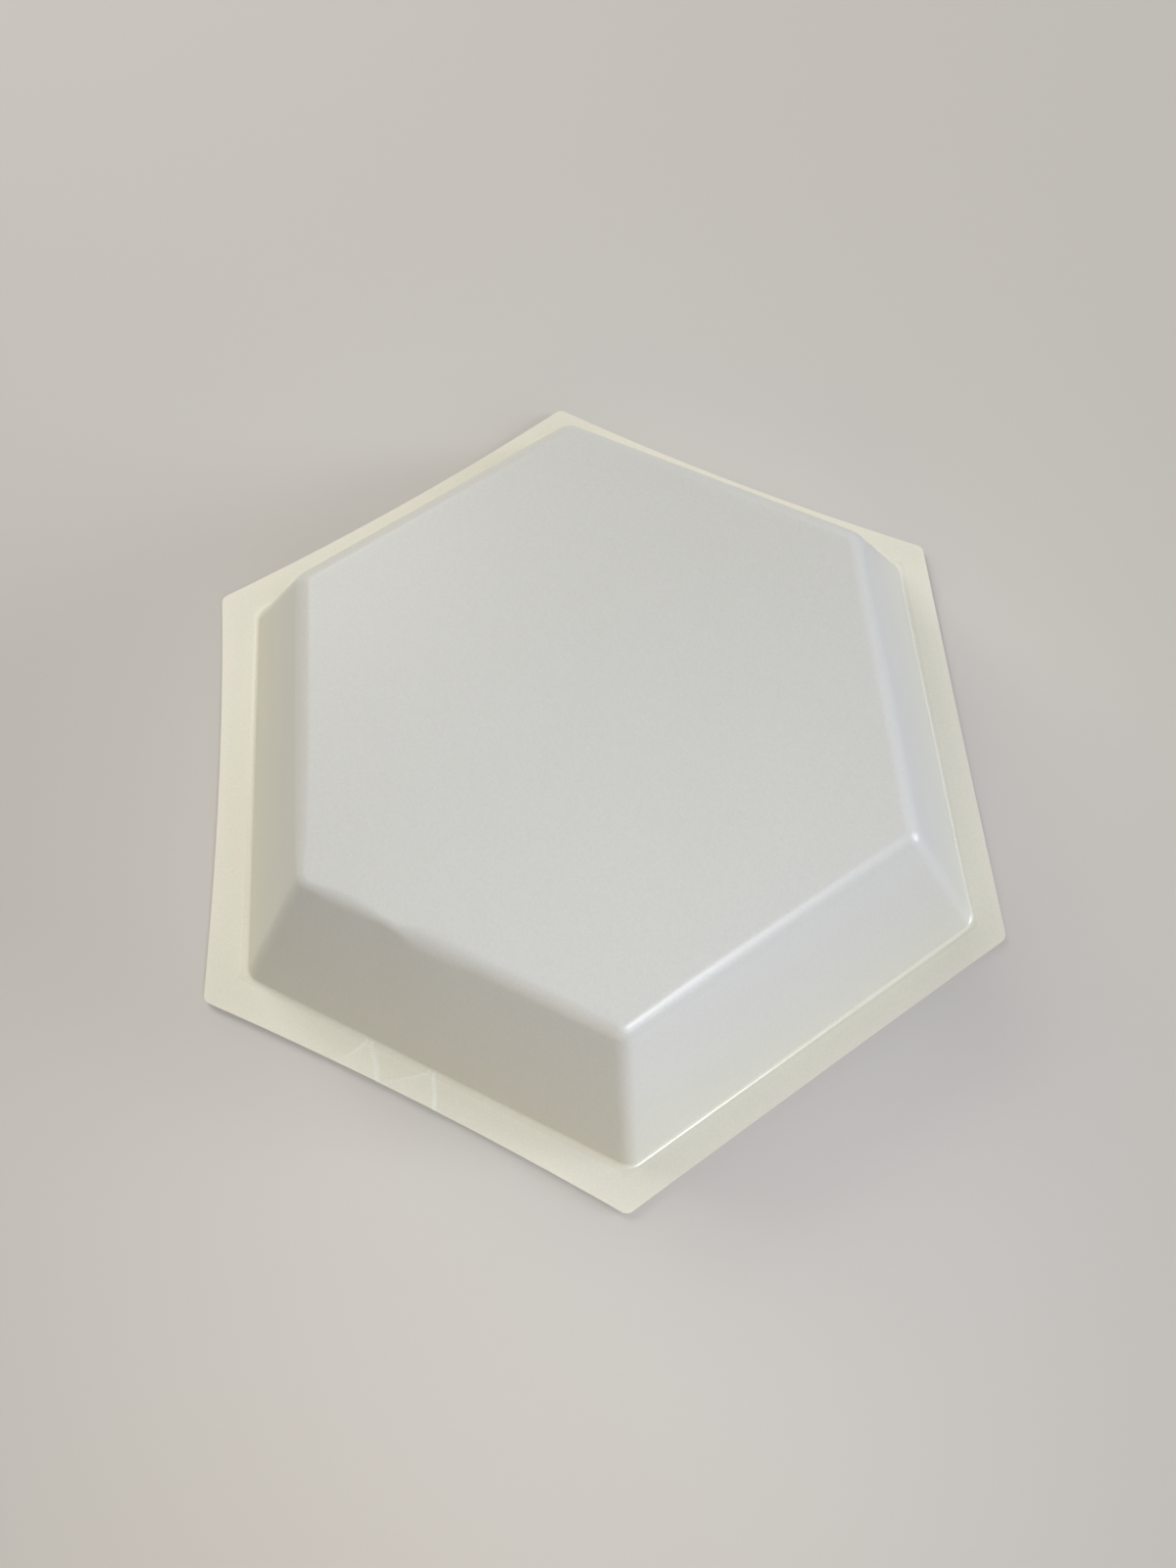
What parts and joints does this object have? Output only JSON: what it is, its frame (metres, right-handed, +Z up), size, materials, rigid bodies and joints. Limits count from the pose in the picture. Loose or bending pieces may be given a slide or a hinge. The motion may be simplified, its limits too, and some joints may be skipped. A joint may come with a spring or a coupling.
{
  "type": "hexagonal weighing boat",
  "caption": "Thin plastic weighing boat with a hexagonal floor, six leaning walls and a flat rim, resting upside down on its rim.",
  "frame": {"origin": "middle of the rim, on the surface that the rim rests on", "axes": "+Z up from the rim to the floor of the boat, -Y towards the front corner, +X towards the middle of the right side"},
  "size_m": [0.12, 0.138, 0.022],
  "materials": {
    "sheet": "white polystyrene sheet with a satin sheen, slightly see-through, ivory at the rim"
  },
  "bodies": {
    "root": {"boat": "sheet"}
  },
  "joints": []
}
